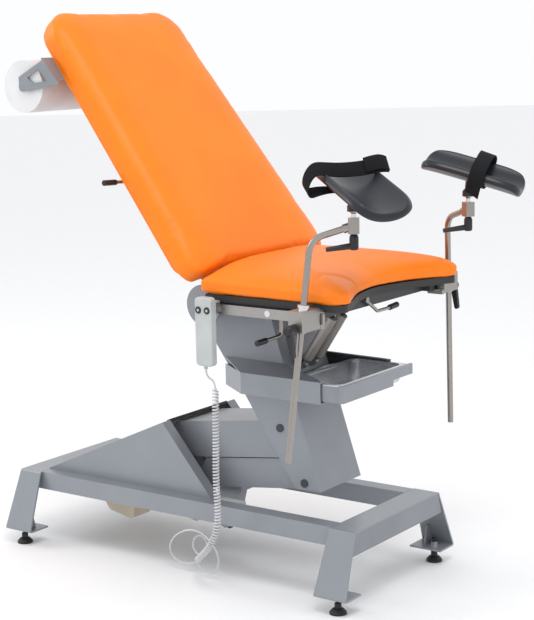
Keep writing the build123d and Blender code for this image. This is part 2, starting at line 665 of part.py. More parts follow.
# ---------------------------------------------------------------- hand control and its cord
HANDSET_X = (184, 236)
HANDSET_Z = (614, 789)
HANDSET_Y = (-337, -317)
BUTTONS_X = (196.5, 223.5)
BUTTON_R = 9
BUTTON_Z = 757
GLAND = (208, -327, 606)
with BuildPart() as handset:
    with BuildSketch(Plane.XZ.offset(-HANDSET_Y[1])) as face:
        with Locations((sum(HANDSET_X) / 2, sum(HANDSET_Z) / 2)):
            Rectangle(HANDSET_X[1] - HANDSET_X[0], HANDSET_Z[1] - HANDSET_Z[0])
        fillet(face.vertices(), 11)
    extrude(amount=HANDSET_Y[1] - HANDSET_Y[0])
    fillet(handset.faces().sort_by(Axis.Y)[0].edges(), 4)
    # hook over the accessory rail
    with BuildSketch(Plane.YZ.offset(HANDSET_X[0] + 12)):
        Polygon(
            (-318, 745), (-301, 745), (-301, 771), (-289, 771), (-289, 760), (-286, 760),
            (-286, 776), (-318, 776), align=None,
        )
    extrude(amount=30)
    with BuildSketch(Plane.XZ.offset(-HANDSET_Y[0])):
        with Locations(*[(x, BUTTON_Z) for x in BUTTONS_X]):
            Circle(BUTTON_R + FIT)
    extrude(amount=-6, mode=Mode.SUBTRACT)
    # strain relief
    with BuildSketch(Plane.XY.offset(GLAND[2])):
        with Locations(GLAND[:2]):
            Circle(5)
    extrude(amount=10)
keep(handset, "handset_body")

for x, name in zip(BUTTONS_X, ("up", "down")):
    with BuildPart() as button:
        with BuildSketch(Plane.XZ.offset(-HANDSET_Y[0] - 3)):
            with Locations((x, BUTTON_Z)):
                Circle(BUTTON_R)
        extrude(amount=5)
        fillet(button.faces().sort_by(Axis.Y)[0].edges(), 1)
    keep(button, f"handset_{name}_button")

HANDSET_LEAD = [GLAND, (208, -327, 586), (226, -315, 574), (226, -315, 556)]
COIL_ROUTE = [
    (226, -315, 556), (226, -315, 450), (221, -316, 320), (227, -315, 200),
    (197, -312, 138), (150, -288, 98), (108, -250, 70), (80, -222, 52),
]
BASE_LEAD = [
    (80, -222, 52), (66, -208, 43), (72, -204, 22), (98, -205, 11), (126, -205, 20),
    (140, -204, 50), (128, -203, 84), (100, -201, 110), (62, -199, 126), (18, -197, 118),
    (-22, -195, 94), (-44, -193, 56), (-24, -192, 28), (16, -192, 20), (56, -192, 32),
    (84, -192, 56), (92, -191, 90), (70, -189, 112), (44, -187, 100), (33, -185, 73),
    (48, -183, 49), (77, -181, 60), (93, -176, 92), (96, -160, 125), (95, -140, 145),
    (95, -140, 160),
]
for route, diameter, name in (
    (HANDSET_LEAD, CORD_D, "handset_lead"),
    (COIL_ROUTE, COIL_D, "handset_coil"),
    (BASE_LEAD, CORD_D, "base_lead"),
):
    with BuildPart() as cord:
        with BuildLine() as path:
            FilletPolyline(*route, radius=rounded_path(route))
        with BuildSketch(path.line ^ 0):
            Circle(diameter / 2)
        sweep()
    keep(cord, name)

with BuildPart() as control_box:
    with Locations((115, -140, 182)):
        Box(110, 36, 44)
    fillet(control_box.edges().filter_by(Axis.X), 3)
    with Locations((62, -140, 182)):
        Box(8, 24, 20, mode=Mode.SUBTRACT)
keep(control_box, "control_box")


# ---------------------------------------------------------------- levers
def bent_lever(route, radii, grip):
    """Round bar bent along a route, with a plastic grip over its last stretch."""
    with BuildPart() as lever:
        with BuildLine() as path:
            FilletPolyline(*route, radius=radii)
        with BuildSketch(path.line ^ 0):
            Circle(4.5)
        sweep()
        end = Vector(*route[-1])
        back = (Vector(*route[-2]) - end).normalized()
        add(revolved([(0, 0), (5, 0), (7.5, 2), (7.5, grip), (0, grip)], end, back).part)
    return lever


TILT_LEVER = [(350, -196, 734.7), (350, -198, 683), (350, -240, 682), (350, -304, 680)]
FRONT_LEVER = [(506, -44, 764), (506, 11, 727), (506, 62, 727), (506, 110, 730)]
with BuildPart() as tilt_lever:
    add(bent_lever(TILT_LEVER, 12, 40).part)
    with BuildSketch(Plane.YZ.offset(340)):
        with Locations((-196, 734.7)):
            Circle(9)
    extrude(amount=20)
keep(tilt_lever, "tilt_release_lever")

with BuildPart() as front_lever:
    add(bent_lever(FRONT_LEVER, 18, 40).part)
    with BuildSketch(Plane.YZ.offset(500)):
        with Locations((-44, 764)):
            Circle(7.7)
    extrude(amount=12)
keep(front_lever, "front_release_lever")


def on_back(out, y, up):
    """A point given out from, across and up the backrest."""
    return tuple(back_origin + back_out * out + back_up * up + Vector(0, y, 0))


with BuildPart() as recline_lever:
    route = [on_back(22, -178, 378), on_back(22, -250, 384), on_back(22, -328, 388)]
    add(bent_lever(route, 60, 46).part)
    with BuildSketch(back_face.offset(14)):
        with Locations((-180, 378)):
            Circle(9)
    extrude(amount=14)
keep(recline_lever, "recline_release_lever")

# ---------------------------------------------------------------- backrest
TUBE_OUT = (12, 42)
with BuildPart() as back_frame:
    for side in (-1, 1):
        with BuildSketch(back_side):
            with Locations(((TUBE_OUT[0] + TUBE_OUT[1]) / 2, 395)):
                Rectangle(TUBE_OUT[1] - TUBE_OUT[0], 810)
        extrude(amount=170, both=True)
    with BuildSketch(back_side):
        with Locations((27, 395)):
            Rectangle(60, 820)
    extrude(amount=145, both=True, mode=Mode.SUBTRACT)
    with BuildSketch(back_side):
        with Locations((27, 130), (27, 680)):
            Rectangle(30, 40)
    extrude(amount=150, both=True)
    with BuildSketch(side_plane(RECLINE_AXIS)):
        Circle(SHAFT_R)
    extrude(amount=206, both=True)
    for side in (-1, 1):
        with BuildSketch(Plane.XZ.offset(-side * 200)):
            with Locations(RECLINE_AXIS):
                Circle(54)
        extrude(amount=-side * 6)
keep(back_frame, "back_frame")


def back_outline(low, high, inset, bottom_radius, top_radius):
    """Tapered backrest outline with rounded corners, drawn on the back's face."""
    rate = (BACK_HALF_LOW - BACK_HALF_HIGH) / (BACK_HIGH - BACK_LOW)
    wide = BACK_HALF_LOW - inset - rate * (low - BACK_LOW)
    narrow = BACK_HALF_LOW - inset - rate * (high - BACK_LOW)
    with BuildSketch(mode=Mode.PRIVATE) as outline:
        Polygon((-wide, low), (wide, low), (narrow, high), (-narrow, high), align=None)
        corners = outline.vertices().group_by(Axis.Y)
        fillet(corners[0], bottom_radius)
        fillet(outline.vertices().group_by(Axis.Y)[-1], top_radius)
    return outline.sketch


with BuildPart() as back_board:
    with BuildSketch(back_face.offset(BACK_PAD[0] - BOARD)):
        add(back_outline(75, BACK_HIGH - 10, 10, 30, 80))
    extrude(amount=BOARD)
keep(back_board, "back_board")

with BuildPart() as back_pad:
    with BuildSketch(back_face.offset(BACK_PAD[0])):
        add(back_outline(BACK_LOW + 4, BACK_HIGH, 0, 40, 90))
    extrude(amount=BACK_PAD[1] - BACK_PAD[0])
    fillet(back_pad.faces().sort_by(Axis(back_origin, back_out))[-1].edges(), 20)
keep(back_pad, "back_pad")

ROLL_AT = (-410, 1307)
ROLL_HALF = 296
with BuildPart() as roll_holder:
    for side in (-1, 1):
        with BuildSketch(Plane.XZ.offset(-side * 300)):
            Polygon((-332, 1377), (-420, 1332), (-417, 1296), (-382, 1296), (-274, 1314), align=None)
            Polygon((-345, 1354), (-388, 1331), (-368, 1316), (-318, 1322), align=None, mode=Mode.SUBTRACT)
        extrude(amount=-side * 3)
        with BuildSketch(back_face.offset(BACK_PAD[0] - BOARD - 3)):
            with Locations((side * 274, 742)):
                Rectangle(58, 72)
        extrude(amount=3)
    with BuildSketch(side_plane(ROLL_AT)):
        Circle(13)
        Circle(10, mode=Mode.SUBTRACT)
    extrude(amount=300, both=True)
keep(roll_holder, "paper_roll_holder")

with BuildPart() as paper_roll:
    with BuildSketch(side_plane(ROLL_AT)):
        Circle(70)
        Circle(13 + FIT, mode=Mode.SUBTRACT)
    extrude(amount=ROLL_HALF, both=True)
keep(paper_roll, "paper_roll")

# ---------------------------------------------------------------- leg rests
ROD_TOP = (530, 334, 911)               # where the straight of a rod ends
ROD_RUN = Vector(27, -62, 491).normalized()
CLAMP_X = (495, 540)
CLAMP_Y = (300.3, 375)
CLAMP_Z = (735, 785)
SCREW = (514, 742)
BALL_R = 12
LEVER_REACH = Vector(-52, -42, -36)     # from the top of a swivel lever's hub to its tip
PAD_RADIUS = 114.7
PAD_THICK = 14
PAD_ARC = 46
PAD_LENGTH = 270
# per hand: side, rod bottom height, block height, pad spread, pad roll, strap position
LEG_RESTS = {
    "right": (-1, 420, 985, 32, 0, -70),
    "left": (1, 352, 968, 20, 8, 50),
}
BALL_ABOVE_BLOCK = 39


def trough(middle, start, length, outer, inner, arc):
    """Part of a tube wall below the trough's centre line, between two radii.

    middle is the plane across the trough half way along it, and start is measured from there."""
    reach = 2 * outer * tan(radians(arc))
    with BuildPart() as wall:
        with BuildSketch(middle.offset(start)):
            Circle(outer)
            Circle(inner, mode=Mode.SUBTRACT)
            Polygon((0, 0), (-reach, -2 * outer), (reach, -2 * outer), align=None, mode=Mode.INTERSECT)
        extrude(amount=length)
    return wall


for hand, (side, bottom_z, block_z, spread, roll, strap_at) in LEG_RESTS.items():
    run = Vector(ROD_RUN.X, side * ROD_RUN.Y, ROD_RUN.Z)
    top = Vector(ROD_TOP[0], side * ROD_TOP[1], ROD_TOP[2])
    rod_foot = top + run * ((bottom_z - top.Z) / run.Z)
    knee = top + run * (42 + block_z - 985)
    block_at = Vector(623, side * 279, block_z)
    mid = top + run * ((760 - top.Z) / run.Z)
    rod_plane = Plane(origin=mid, z_dir=run)

    with BuildPart() as clamp:
        with Locations(((CLAMP_X[0] + CLAMP_X[1]) / 2, side * sum(CLAMP_Y) / 2, 760)):
            Box(CLAMP_X[1] - CLAMP_X[0], CLAMP_Y[1] - CLAMP_Y[0], CLAMP_Z[1] - CLAMP_Z[0])
        fillet(clamp.edges().filter_by(Axis.Z), 4)
        # jaws hooked over the accessory rail
        with BuildSketch(Plane.YZ.offset(CLAMP_X[0])):
            for low, high, lip in ((770, 781, 767), (733, 744, 747)):
                corners = [(288.8, high), (288.8, low), (302, low), (302, high)]
                Polygon(*[(side * y, z) for y, z in corners], align=None)
                end = high if lip > SIDE_RAIL_Z else low
                corners = [(286, end), (286, lip), (289, lip), (289, end)]
                Polygon(*[(side * y, z) for y, z in corners], align=None)
        extrude(amount=CLAMP_X[1] - CLAMP_X[0])
        with BuildSketch(rod_plane.offset(-60)):
            Circle(12 + FIT)
        extrude(amount=120, mode=Mode.SUBTRACT)
        with BuildSketch(Plane(origin=(SCREW[0], side * 378, SCREW[1]), z_dir=(0, -side, 0))):
            Circle(5 + FIT)
        extrude(amount=10, mode=Mode.SUBTRACT)
    keep(clamp, f"{hand}_rail_clamp")

    with BuildPart() as clamp_lever:
        hub_at = Vector(SCREW[0], side * 368.5, SCREW[1])
        hub = [(0, 0), (5, 0), (5, 7), (13, 7), (13, 34), (9, 41), (0, 41)]
        add(revolved(hub, hub_at, Vector(0, side, 0)).part)
        with BuildSketch(Plane.XZ.offset(-side * 392)) as handle:
            with Locations(SCREW):
                Circle(9)
            with Locations((SCREW[0] + 10, SCREW[1] - 60)):
                Circle(6)
            make_hull()
        extrude(amount=-side * 10)
    keep(clamp_lever, f"{hand}_clamp_lever")

    with BuildPart() as sleeve:
        with BuildSketch(rod_plane.offset(-28)):
            Circle(12)
            Circle(ROD_R + FIT, mode=Mode.SUBTRACT)
        extrude(amount=60)
        with BuildSketch(rod_plane.offset(32)):
            Circle(15)
            Circle(ROD_R + FIT, mode=Mode.SUBTRACT)
        extrude(amount=6)
    keep(sleeve, f"{hand}_rod_sleeve")

    with BuildPart() as rod:
        with BuildLine() as path:
            FilletPolyline(rod_foot, knee, block_at, radius=48)
        with BuildSketch(path.line ^ 0):
            Circle(ROD_R)
        sweep()
        # aluminium block on the end of the rod, with a chrome ferrule where the rod enters
        entry = (block_at - knee).normalized()
        flat = Vector(entry.X, entry.Y, 0).normalized()
        with BuildSketch(Plane(origin=block_at - Vector(0, 0, 19), x_dir=flat, z_dir=(0, 0, 1))):
            RectangleRounded(26, 26, 3)
        extrude(amount=38)
        with BuildSketch(Plane(origin=block_at - entry * 26, z_dir=entry)):
            Circle(11)
        extrude(amount=20)
        with BuildSketch(Plane.XY.offset(block_z - 20)):
            with Locations((block_at.X, block_at.Y)):
                Circle(6 + FIT)
        extrude(amount=40, mode=Mode.SUBTRACT)
    keep(rod, f"{hand}_leg_rest_rod")

    with BuildPart() as swivel_lever:
        hub_top = block_at - Vector(0, 0, 19.3)
        hub = [(0, 12), (5, 12), (5, 0), (9, -3), (11, -8), (11, -34), (9, -38), (0, -38)]
        add(revolved(hub, hub_top, Vector(0, 0, 1)).part)
        with BuildLine() as path:
            Line(hub_top - Vector(0, 0, 28), hub_top + LEVER_REACH)
        with BuildSketch(path.line ^ 0):
            Circle(8)
        with BuildSketch(path.line ^ 1):
            Circle(5.5)
        loft()
    keep(swivel_lever, f"{hand}_swivel_lever")

    ball_at = block_at + Vector(0, 0, BALL_ABOVE_BLOCK)
    with BuildPart() as stud:
        add(revolved([(0, -42), (6, -42), (6, -6), (0, -6)], ball_at, Vector(0, 0, 1)).part)
        with Locations(ball_at):
            Sphere(BALL_R)
    keep(stud, f"{hand}_ball_stud")

    out, down = radians(spread), radians(16)
    axis = Vector(cos(out) * cos(down), side * sin(out) * cos(down), -sin(down))
    across = Vector(0, 0, 1).cross(axis).normalized()
    upright = axis.cross(across)
    tip = radians(roll)
    across = across * cos(tip) + upright * sin(tip)
    upright = axis.cross(across)
    pad_at = Vector(643, side * 270, 1059)
    centre = pad_at + upright * (PAD_RADIUS - 17.5)
    middle = Plane(origin=centre, x_dir=across, z_dir=axis)

    with BuildPart() as leg_pad:
        add(trough(middle, -PAD_LENGTH / 2, PAD_LENGTH, PAD_RADIUS, PAD_RADIUS - PAD_THICK, PAD_ARC).part)
        short = leg_pad.edges().filter_by(lambda e: abs(e.length - PAD_THICK) < 0.5)
        fillet(short, 30)
    keep(leg_pad, f"{hand}_leg_pad")

    with BuildPart() as strap:
        gap, web_thick = 0.4, 2
        outer, inner = PAD_RADIUS + gap, PAD_RADIUS - PAD_THICK - gap
        rim = PAD_ARC + degrees(gap / PAD_RADIUS)
        edge = degrees(web_thick / PAD_RADIUS)
        add(trough(middle, strap_at - 17.5, 35, outer + web_thick, inner - web_thick, rim + edge).part)
        add(trough(middle, strap_at - 17.5, 35, outer, inner, rim).part, mode=Mode.SUBTRACT)
    keep(strap, f"{hand}_leg_strap")

    with BuildPart() as socket:
        under = pad_at - upright * 17.5
        lift = under - ball_at
        rise = lift.normalized()
        cup = [(0, -5), (15.5, -5), (15.5, 8), (11, 14), (0, 14)]
        add(revolved(cup, ball_at, Vector(0, 0, 1)).part)
        neck = [(0, 4), (11, 4), (18, lift.length + 12), (0, lift.length + 12)]
        add(revolved(neck, ball_at, rise).part)
        with Locations(ball_at):
            Sphere(BALL_R + FIT, mode=Mode.SUBTRACT)
        with BuildSketch(middle.offset(-90)):
            Circle(PAD_RADIUS)
        extrude(amount=180, mode=Mode.SUBTRACT)
    keep(socket, f"{hand}_pad_socket")
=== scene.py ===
import math
import bpy
from mathutils import Matrix, Vector
from mathutils.kdtree import KDTree


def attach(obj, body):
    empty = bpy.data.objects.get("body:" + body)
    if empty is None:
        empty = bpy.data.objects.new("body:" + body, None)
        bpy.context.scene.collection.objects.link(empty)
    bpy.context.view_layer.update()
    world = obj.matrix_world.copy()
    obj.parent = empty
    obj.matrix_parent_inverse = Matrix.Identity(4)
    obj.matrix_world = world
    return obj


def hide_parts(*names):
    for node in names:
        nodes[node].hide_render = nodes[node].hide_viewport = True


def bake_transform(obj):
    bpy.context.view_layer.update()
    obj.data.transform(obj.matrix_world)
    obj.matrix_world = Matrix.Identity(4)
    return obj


# Electric gynaecological examination chair, in metres, in the CAD's frame:
# +X towards the doctor (front), +Y towards the patient's left, +Z up.
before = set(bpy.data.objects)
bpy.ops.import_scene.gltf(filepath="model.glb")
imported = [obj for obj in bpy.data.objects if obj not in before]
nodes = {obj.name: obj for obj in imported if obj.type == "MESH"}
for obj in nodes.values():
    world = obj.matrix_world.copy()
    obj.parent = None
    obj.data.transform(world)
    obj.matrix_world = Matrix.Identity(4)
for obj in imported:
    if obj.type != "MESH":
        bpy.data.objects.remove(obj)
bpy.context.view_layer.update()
scene = bpy.context.scene

# ---------------------------------------------------------------- camera
CAMERA_AT = Vector((2.6445, -3.4376, 1.4357))
YAW, PITCH, ROLL = 35.80, 9.81, -1.20       # azimuth, height and roll of the view, degrees
LENS = 93.09                                # focal length in mm, on the 36 mm wide sensor
SENSOR = 36

yaw, pitch, roll = (math.radians(v) for v in (YAW, PITCH, ROLL))
behind = Vector((math.sin(yaw) * math.cos(pitch), -math.cos(yaw) * math.cos(pitch), math.sin(pitch)))
level = Vector((math.cos(yaw), math.sin(yaw), 0))
above = behind.cross(level)
right = level * math.cos(roll) + above * math.sin(roll)
upward = above * math.cos(roll) - level * math.sin(roll)
camera_data = bpy.data.cameras.new("camera")
camera_data.lens = LENS
camera_data.sensor_width = SENSOR
camera_data.clip_end = 30
camera = bpy.data.objects.new("camera", camera_data)
scene.collection.objects.link(camera)
turned = Matrix((right, upward, behind)).transposed().to_4x4()
camera.matrix_world = Matrix.Translation(CAMERA_AT) @ turned
scene.camera = camera


# ---------------------------------------------------------------- helpers
def add_object(name, data):
    obj = bpy.data.objects.new(name, data)
    scene.collection.objects.link(obj)
    return obj


def mesh_object(name, verts, faces, smooth=True):
    mesh = bpy.data.meshes.new(name)
    mesh.from_pydata([tuple(v) for v in verts], [], faces)
    mesh.validate()
    for polygon in mesh.polygons:
        polygon.use_smooth = smooth
    return add_object(name, mesh)


def apply_modifiers(obj):
    """Bake every modifier into the mesh."""
    depsgraph = bpy.context.evaluated_depsgraph_get()
    mesh = bpy.data.meshes.new_from_object(obj.evaluated_get(depsgraph))
    old = obj.data
    obj.modifiers.clear()
    obj.data = mesh
    bpy.data.meshes.remove(old)
    for polygon in obj.data.polygons:
        polygon.use_smooth = True
    return obj


def nurbs(name, points, diameter, material=None):
    """One open smooth curve that has the points as its control points."""
    curve = bpy.data.curves.new(name, "CURVE")
    curve.dimensions = "3D"
    spline = curve.splines.new("NURBS")
    spline.points.add(len(points) - 1)
    for point, at in zip(spline.points, points):
        point.co = (*at, 1)
    spline.order_u = 3
    spline.use_endpoint_u = True
    spline.resolution_u = 8
    curve.bevel_depth = diameter / 2
    curve.bevel_resolution = 4
    curve.use_fill_caps = True
    obj = add_object(name, curve)
    if material:
        curve.materials.append(material)
    return obj


def curve_points(points, steps=8):
    """The smooth curve through a route, as closely spaced points."""
    probe = nurbs("probe", points, 0)
    probe.data.splines[0].resolution_u = steps
    depsgraph = bpy.context.evaluated_depsgraph_get()
    mesh = bpy.data.meshes.new_from_object(probe.evaluated_get(depsgraph))
    line = [v.co.copy() for v in mesh.vertices]
    bpy.data.meshes.remove(mesh)
    curve = probe.data
    bpy.data.objects.remove(probe)
    bpy.data.curves.remove(curve)
    return line


def millimetres(points):
    return [Vector(p) / 1000 for p in points]


# ---------------------------------------------------------------- materials
def new_material(name):
    material = bpy.data.materials.new(name)
    material.use_nodes = True
    tree = material.node_tree
    shader = tree.nodes["Principled BSDF"]
    return material, tree, shader


def noise(tree, scale, detail=3.0, rough=0.55, stretch=None):
    """Object-space noise; stretch squeezes it along one axis."""
    coords = tree.nodes.new("ShaderNodeTexCoord")
    mapping = tree.nodes.new("ShaderNodeMapping")
    if stretch:
        mapping.inputs["Scale"].default_value = stretch
    texture = tree.nodes.new("ShaderNodeTexNoise")
    texture.inputs["Scale"].default_value = scale
    texture.inputs["Detail"].default_value = detail
    texture.inputs["Roughness"].default_value = rough
    tree.links.new(coords.outputs["Object"], mapping.inputs["Vector"])
    tree.links.new(mapping.outputs["Vector"], texture.inputs["Vector"])
    return texture


def ramp(tree, source, low, high, start=0.35, end=0.65):
    node = tree.nodes.new("ShaderNodeValToRGB")
    node.color_ramp.elements[0].position = start
    node.color_ramp.elements[0].color = (*low, 1)
    node.color_ramp.elements[1].position = end
    node.color_ramp.elements[1].color = (*high, 1)
    tree.links.new(source, node.inputs["Fac"])
    return node.outputs["Color"]


def spread(tree, source, low, high):
    """Map a 0 to 1 signal onto a range."""
    node = tree.nodes.new("ShaderNodeMapRange")
    node.inputs["To Min"].default_value = low
    node.inputs["To Max"].default_value = high
    tree.links.new(source, node.inputs["Value"])
    return node.outputs["Result"]


def bump(tree, shader, source, strength, distance):
    node = tree.nodes.new("ShaderNodeBump")
    node.inputs["Strength"].default_value = strength
    node.inputs["Distance"].default_value = distance
    tree.links.new(source, node.inputs["Height"])
    tree.links.new(node.outputs["Normal"], shader.inputs["Normal"])


def shade(color, factor):
    return tuple(min(1, c * factor) for c in color)


def painted_edge_highlight(tree, color, bright, amount):
    """Painted highlight: lighten outside edges, where powder coat and metal catch the light."""
    geometry = tree.nodes.new("ShaderNodeNewGeometry")
    edge = tree.nodes.new("ShaderNodeMapRange")
    edge.inputs["From Min"].default_value = 0.52
    edge.inputs["From Max"].default_value = 0.60
    edge.inputs["To Max"].default_value = amount
    tree.links.new(geometry.outputs["Pointiness"], edge.inputs["Value"])
    mix = tree.nodes.new("ShaderNodeMix")
    mix.data_type = "RGBA"
    mix.inputs["B"].default_value = (*bright, 1)
    tree.links.new(edge.outputs["Result"], mix.inputs["Factor"])
    tree.links.new(color, mix.inputs["A"])
    return mix.outputs["Result"]


def painted(name, color, roughness, metallic=0.0, edges=0.4, coat=0.0):
    """Sprayed or powder-coated metal: orange peel, slight mottling and a painted highlight on the edges."""
    material, tree, shader = new_material(name)
    mottle = noise(tree, 9, 4)
    color_out = ramp(tree, mottle.outputs["Fac"], shade(color, 0.93), shade(color, 1.05))
    # painted highlight on the outside edges, where they catch the light
    color_out = painted_edge_highlight(tree, color_out, shade(color, 1.45), edges)
    tree.links.new(color_out, shader.inputs["Base Color"])
    shader.inputs["Metallic"].default_value = metallic
    shader.inputs["Coat Weight"].default_value = coat
    shader.inputs["Coat Roughness"].default_value = 0.2
    peel = noise(tree, 900, 2)
    tree.links.new(
        spread(tree, peel.outputs["Fac"], roughness - 0.05, roughness + 0.07), shader.inputs["Roughness"]
    )
    bump(tree, shader, peel.outputs["Fac"], 0.35, 0.00012)
    return material


def brushed(name, color, roughness, stretch=(4, 120, 120)):
    """Drawn or brushed metal with fine lines along one direction."""
    material, tree, shader = new_material(name)
    lines = noise(tree, 14, 5, 0.7, stretch)
    tree.links.new(
        ramp(tree, lines.outputs["Fac"], shade(color, 0.82), shade(color, 1.08), 0.25, 0.75),
        shader.inputs["Base Color"],
    )
    shader.inputs["Metallic"].default_value = 1.0
    tree.links.new(
        spread(tree, lines.outputs["Fac"], roughness - 0.08, roughness + 0.12), shader.inputs["Roughness"]
    )
    bump(tree, shader, lines.outputs["Fac"], 0.15, 0.00005)
    return material


def moulded(name, color, roughness, grain=1400, depth=0.00008, mottle=0.05):
    """Moulded plastic or rubber with a fine spark-eroded grain."""
    material, tree, shader = new_material(name)
    broad = noise(tree, 12, 3)
    tree.links.new(
        ramp(tree, broad.outputs["Fac"], shade(color, 1 - mottle), shade(color, 1 + mottle)),
        shader.inputs["Base Color"],
    )
    fine = noise(tree, grain, 2)
    tree.links.new(
        spread(tree, fine.outputs["Fac"], roughness - 0.06, roughness + 0.08), shader.inputs["Roughness"]
    )
    bump(tree, shader, fine.outputs["Fac"], 0.3, depth)
    return material


def leatherette(name, color):
    """Upholstery vinyl: fine pebble grain, soft sheen, slight tone shifts."""
    material, tree, shader = new_material(name)
    broad = noise(tree, 5, 3)
    tree.links.new(
        ramp(tree, broad.outputs["Fac"], shade(color, 0.94), shade(color, 1.05)), shader.inputs["Base Color"]
    )
    coords = tree.nodes.new("ShaderNodeTexCoord")
    pebbles = tree.nodes.new("ShaderNodeTexVoronoi")
    pebbles.feature = "DISTANCE_TO_EDGE"
    pebbles.inputs["Scale"].default_value = 620
    tree.links.new(coords.outputs["Object"], pebbles.inputs["Vector"])
    tree.links.new(spread(tree, pebbles.outputs["Distance"], 0.44, 0.33), shader.inputs["Roughness"])
    bump(tree, shader, pebbles.outputs["Distance"], 0.3, 0.0004)
    shader.inputs["Specular IOR Level"].default_value = 0.33
    return material


def woven(name, color):
    """Narrow webbing: a cross rib over a fine weave."""
    material, tree, shader = new_material(name)
    coords = tree.nodes.new("ShaderNodeTexCoord")
    waves = []
    for direction in ("X", "Y", "Z"):
        wave = tree.nodes.new("ShaderNodeTexWave")
        wave.bands_direction = direction
        wave.inputs["Scale"].default_value = 160
        wave.inputs["Distortion"].default_value = 0.6
        wave.inputs["Detail Scale"].default_value = 3
        tree.links.new(coords.outputs["Object"], wave.inputs["Vector"])
        waves.append(wave.outputs["Fac"])
    total = waves[0]
    for other in waves[1:]:
        add = tree.nodes.new("ShaderNodeMath")
        add.operation = "MULTIPLY_ADD"
        add.inputs[1].default_value = 0.5
        tree.links.new(total, add.inputs[0])
        tree.links.new(other, add.inputs[2])
        total = add.outputs[0]
    tree.links.new(
        ramp(tree, total, shade(color, 0.5), shade(color, 1.6), 0.3, 1.2), shader.inputs["Base Color"]
    )
    shader.inputs["Roughness"].default_value = 0.9
    shader.inputs["Specular IOR Level"].default_value = 0.2
    bump(tree, shader, total, 0.5, 0.0006)
    return material


POWDER = painted("powder_coat", (0.225, 0.24, 0.265), 0.36, metallic=0.3, coat=0.15)
FRAME_BLACK = painted("frame_black", (0.035, 0.036, 0.04), 0.45, edges=0.3)
CYLINDER = painted("gas_cylinder", (0.36, 0.335, 0.31), 0.35, metallic=0.3, edges=0.3)
ROD_BLACK = painted("rod_black", (0.02, 0.02, 0.022), 0.25, edges=0.2)
STAINLESS = brushed("stainless_sheet", (0.62, 0.63, 0.65), 0.25)
BAR_STEEL = brushed("bar_steel", (0.37, 0.345, 0.32), 0.27, stretch=(90, 90, 4))
CHROME = brushed("chrome", (0.78, 0.78, 0.79), 0.13, stretch=(30, 30, 30))
RAIL_STEEL = brushed("rail_steel", (0.40, 0.385, 0.37), 0.3, stretch=(4, 90, 90))
ALLOY = brushed("machined_alloy", (0.38, 0.37, 0.345), 0.35, stretch=(10, 60, 60))
BEIGE = moulded("actuator_plastic", (0.66, 0.58, 0.46), 0.5)
BLACK_PLASTIC = moulded("black_plastic", (0.012, 0.012, 0.015), 0.38)
BLACK_RUBBER = moulded("black_rubber", (0.011, 0.011, 0.011), 0.55)
HANDSET = moulded("handset_plastic", (0.47, 0.495, 0.49), 0.42)
CORD = moulded("cord_jacket", (0.56, 0.56, 0.58), 0.3)
PAPER = moulded("paper", (0.70, 0.70, 0.705), 0.8, grain=300, depth=0.0002)
BOARD = moulded("sealed_board", (0.028, 0.027, 0.028), 0.6)
LEATHER = leatherette("orange_leatherette", (0.95, 0.212, 0.003))
PAD_SKIN = moulded("pad_skin", (0.0068, 0.0084, 0.0155), 0.33, grain=700, depth=0.0001)
WEBBING = woven("black_webbing", (0.008, 0.008, 0.009))

# which CAD nodes take which material
FINISHES = {
    POWDER: "front_leg_frame rear_leg_frame base_rails ramp_cover pivot_tower upper_lift_arm "
            "lower_lift_arm column_shell column_rear_cover tray_housing tray_drawer_front paper_roll_holder",
    FRAME_BLACK: "column_pivot_pins seat_frame back_frame",
    CYLINDER: "right_gas_spring_cylinder left_gas_spring_cylinder",
    ROD_BLACK: "right_gas_spring_rod left_gas_spring_rod actuator_push_rod",
    STAINLESS: "instrument_tray",
    RAIL_STEEL: "side_rails",
    BAR_STEEL: "right_leg_rest_rod left_leg_rest_rod tilt_release_lever front_release_lever "
               "recline_release_lever",
    CHROME: "rail_screws foot_nuts right_rod_sleeve left_rod_sleeve right_ball_stud left_ball_stud",
    ALLOY: "right_rail_clamp left_rail_clamp",
    BEIGE: "actuator_body",
    BLACK_PLASTIC: "right_clamp_lever left_clamp_lever "
                   "right_swivel_lever left_swivel_lever right_pad_socket left_pad_socket",
    BLACK_RUBBER: "levelling_feet ramp_edge_trim",
    HANDSET: "handset_body control_box",
    PAPER: "paper_roll",
    BOARD: "seat_board back_board",
}
for material, names in FINISHES.items():
    for name in names.split():
        mesh = nodes[name].data
        mesh.materials.clear()
        mesh.materials.append(material)


def second_finish(node, material, wanted):
    """Give the faces of a CAD node that pass a test another finish."""
    mesh = nodes[node].data
    mesh.materials.append(material)
    slot = len(mesh.materials) - 1
    for polygon in mesh.polygons:
        if wanted(polygon.center, polygon.normal):
            polygon.material_index = slot


BACK_HINGE = Vector((0.110, 0, 0.742))      # axis that the backrest reclines about
BACK_OUT = Vector((0.790, 0, 0.613))        # out of the backrest's front face
BACK_UP = Vector((-0.613, 0, 0.790))        # along the backrest, away from the seat
# black sleeves pushed on the ends of the release levers
second_finish("tilt_release_lever", BLACK_PLASTIC, lambda c, n: c.y < -0.262)
second_finish("front_release_lever", BLACK_PLASTIC, lambda c, n: c.y > 0.068)
second_finish("recline_release_lever", BLACK_PLASTIC, lambda c, n: c.y < -0.28)
# the covering is drawn round the back board and stapled behind it
second_finish("back_board", LEATHER, lambda c, n: n.dot(BACK_OUT) > -0.5)
# painted recline quadrants on the black back frame
second_finish("back_frame", POWDER, lambda c, n: 0.198 < abs(c.y) < 0.208)


BUTTON_Z = 0.757
BUTTON_R = 0.009
BUTTONS_X = {"handset_up_button": 0.1965, "handset_down_button": 0.2235}


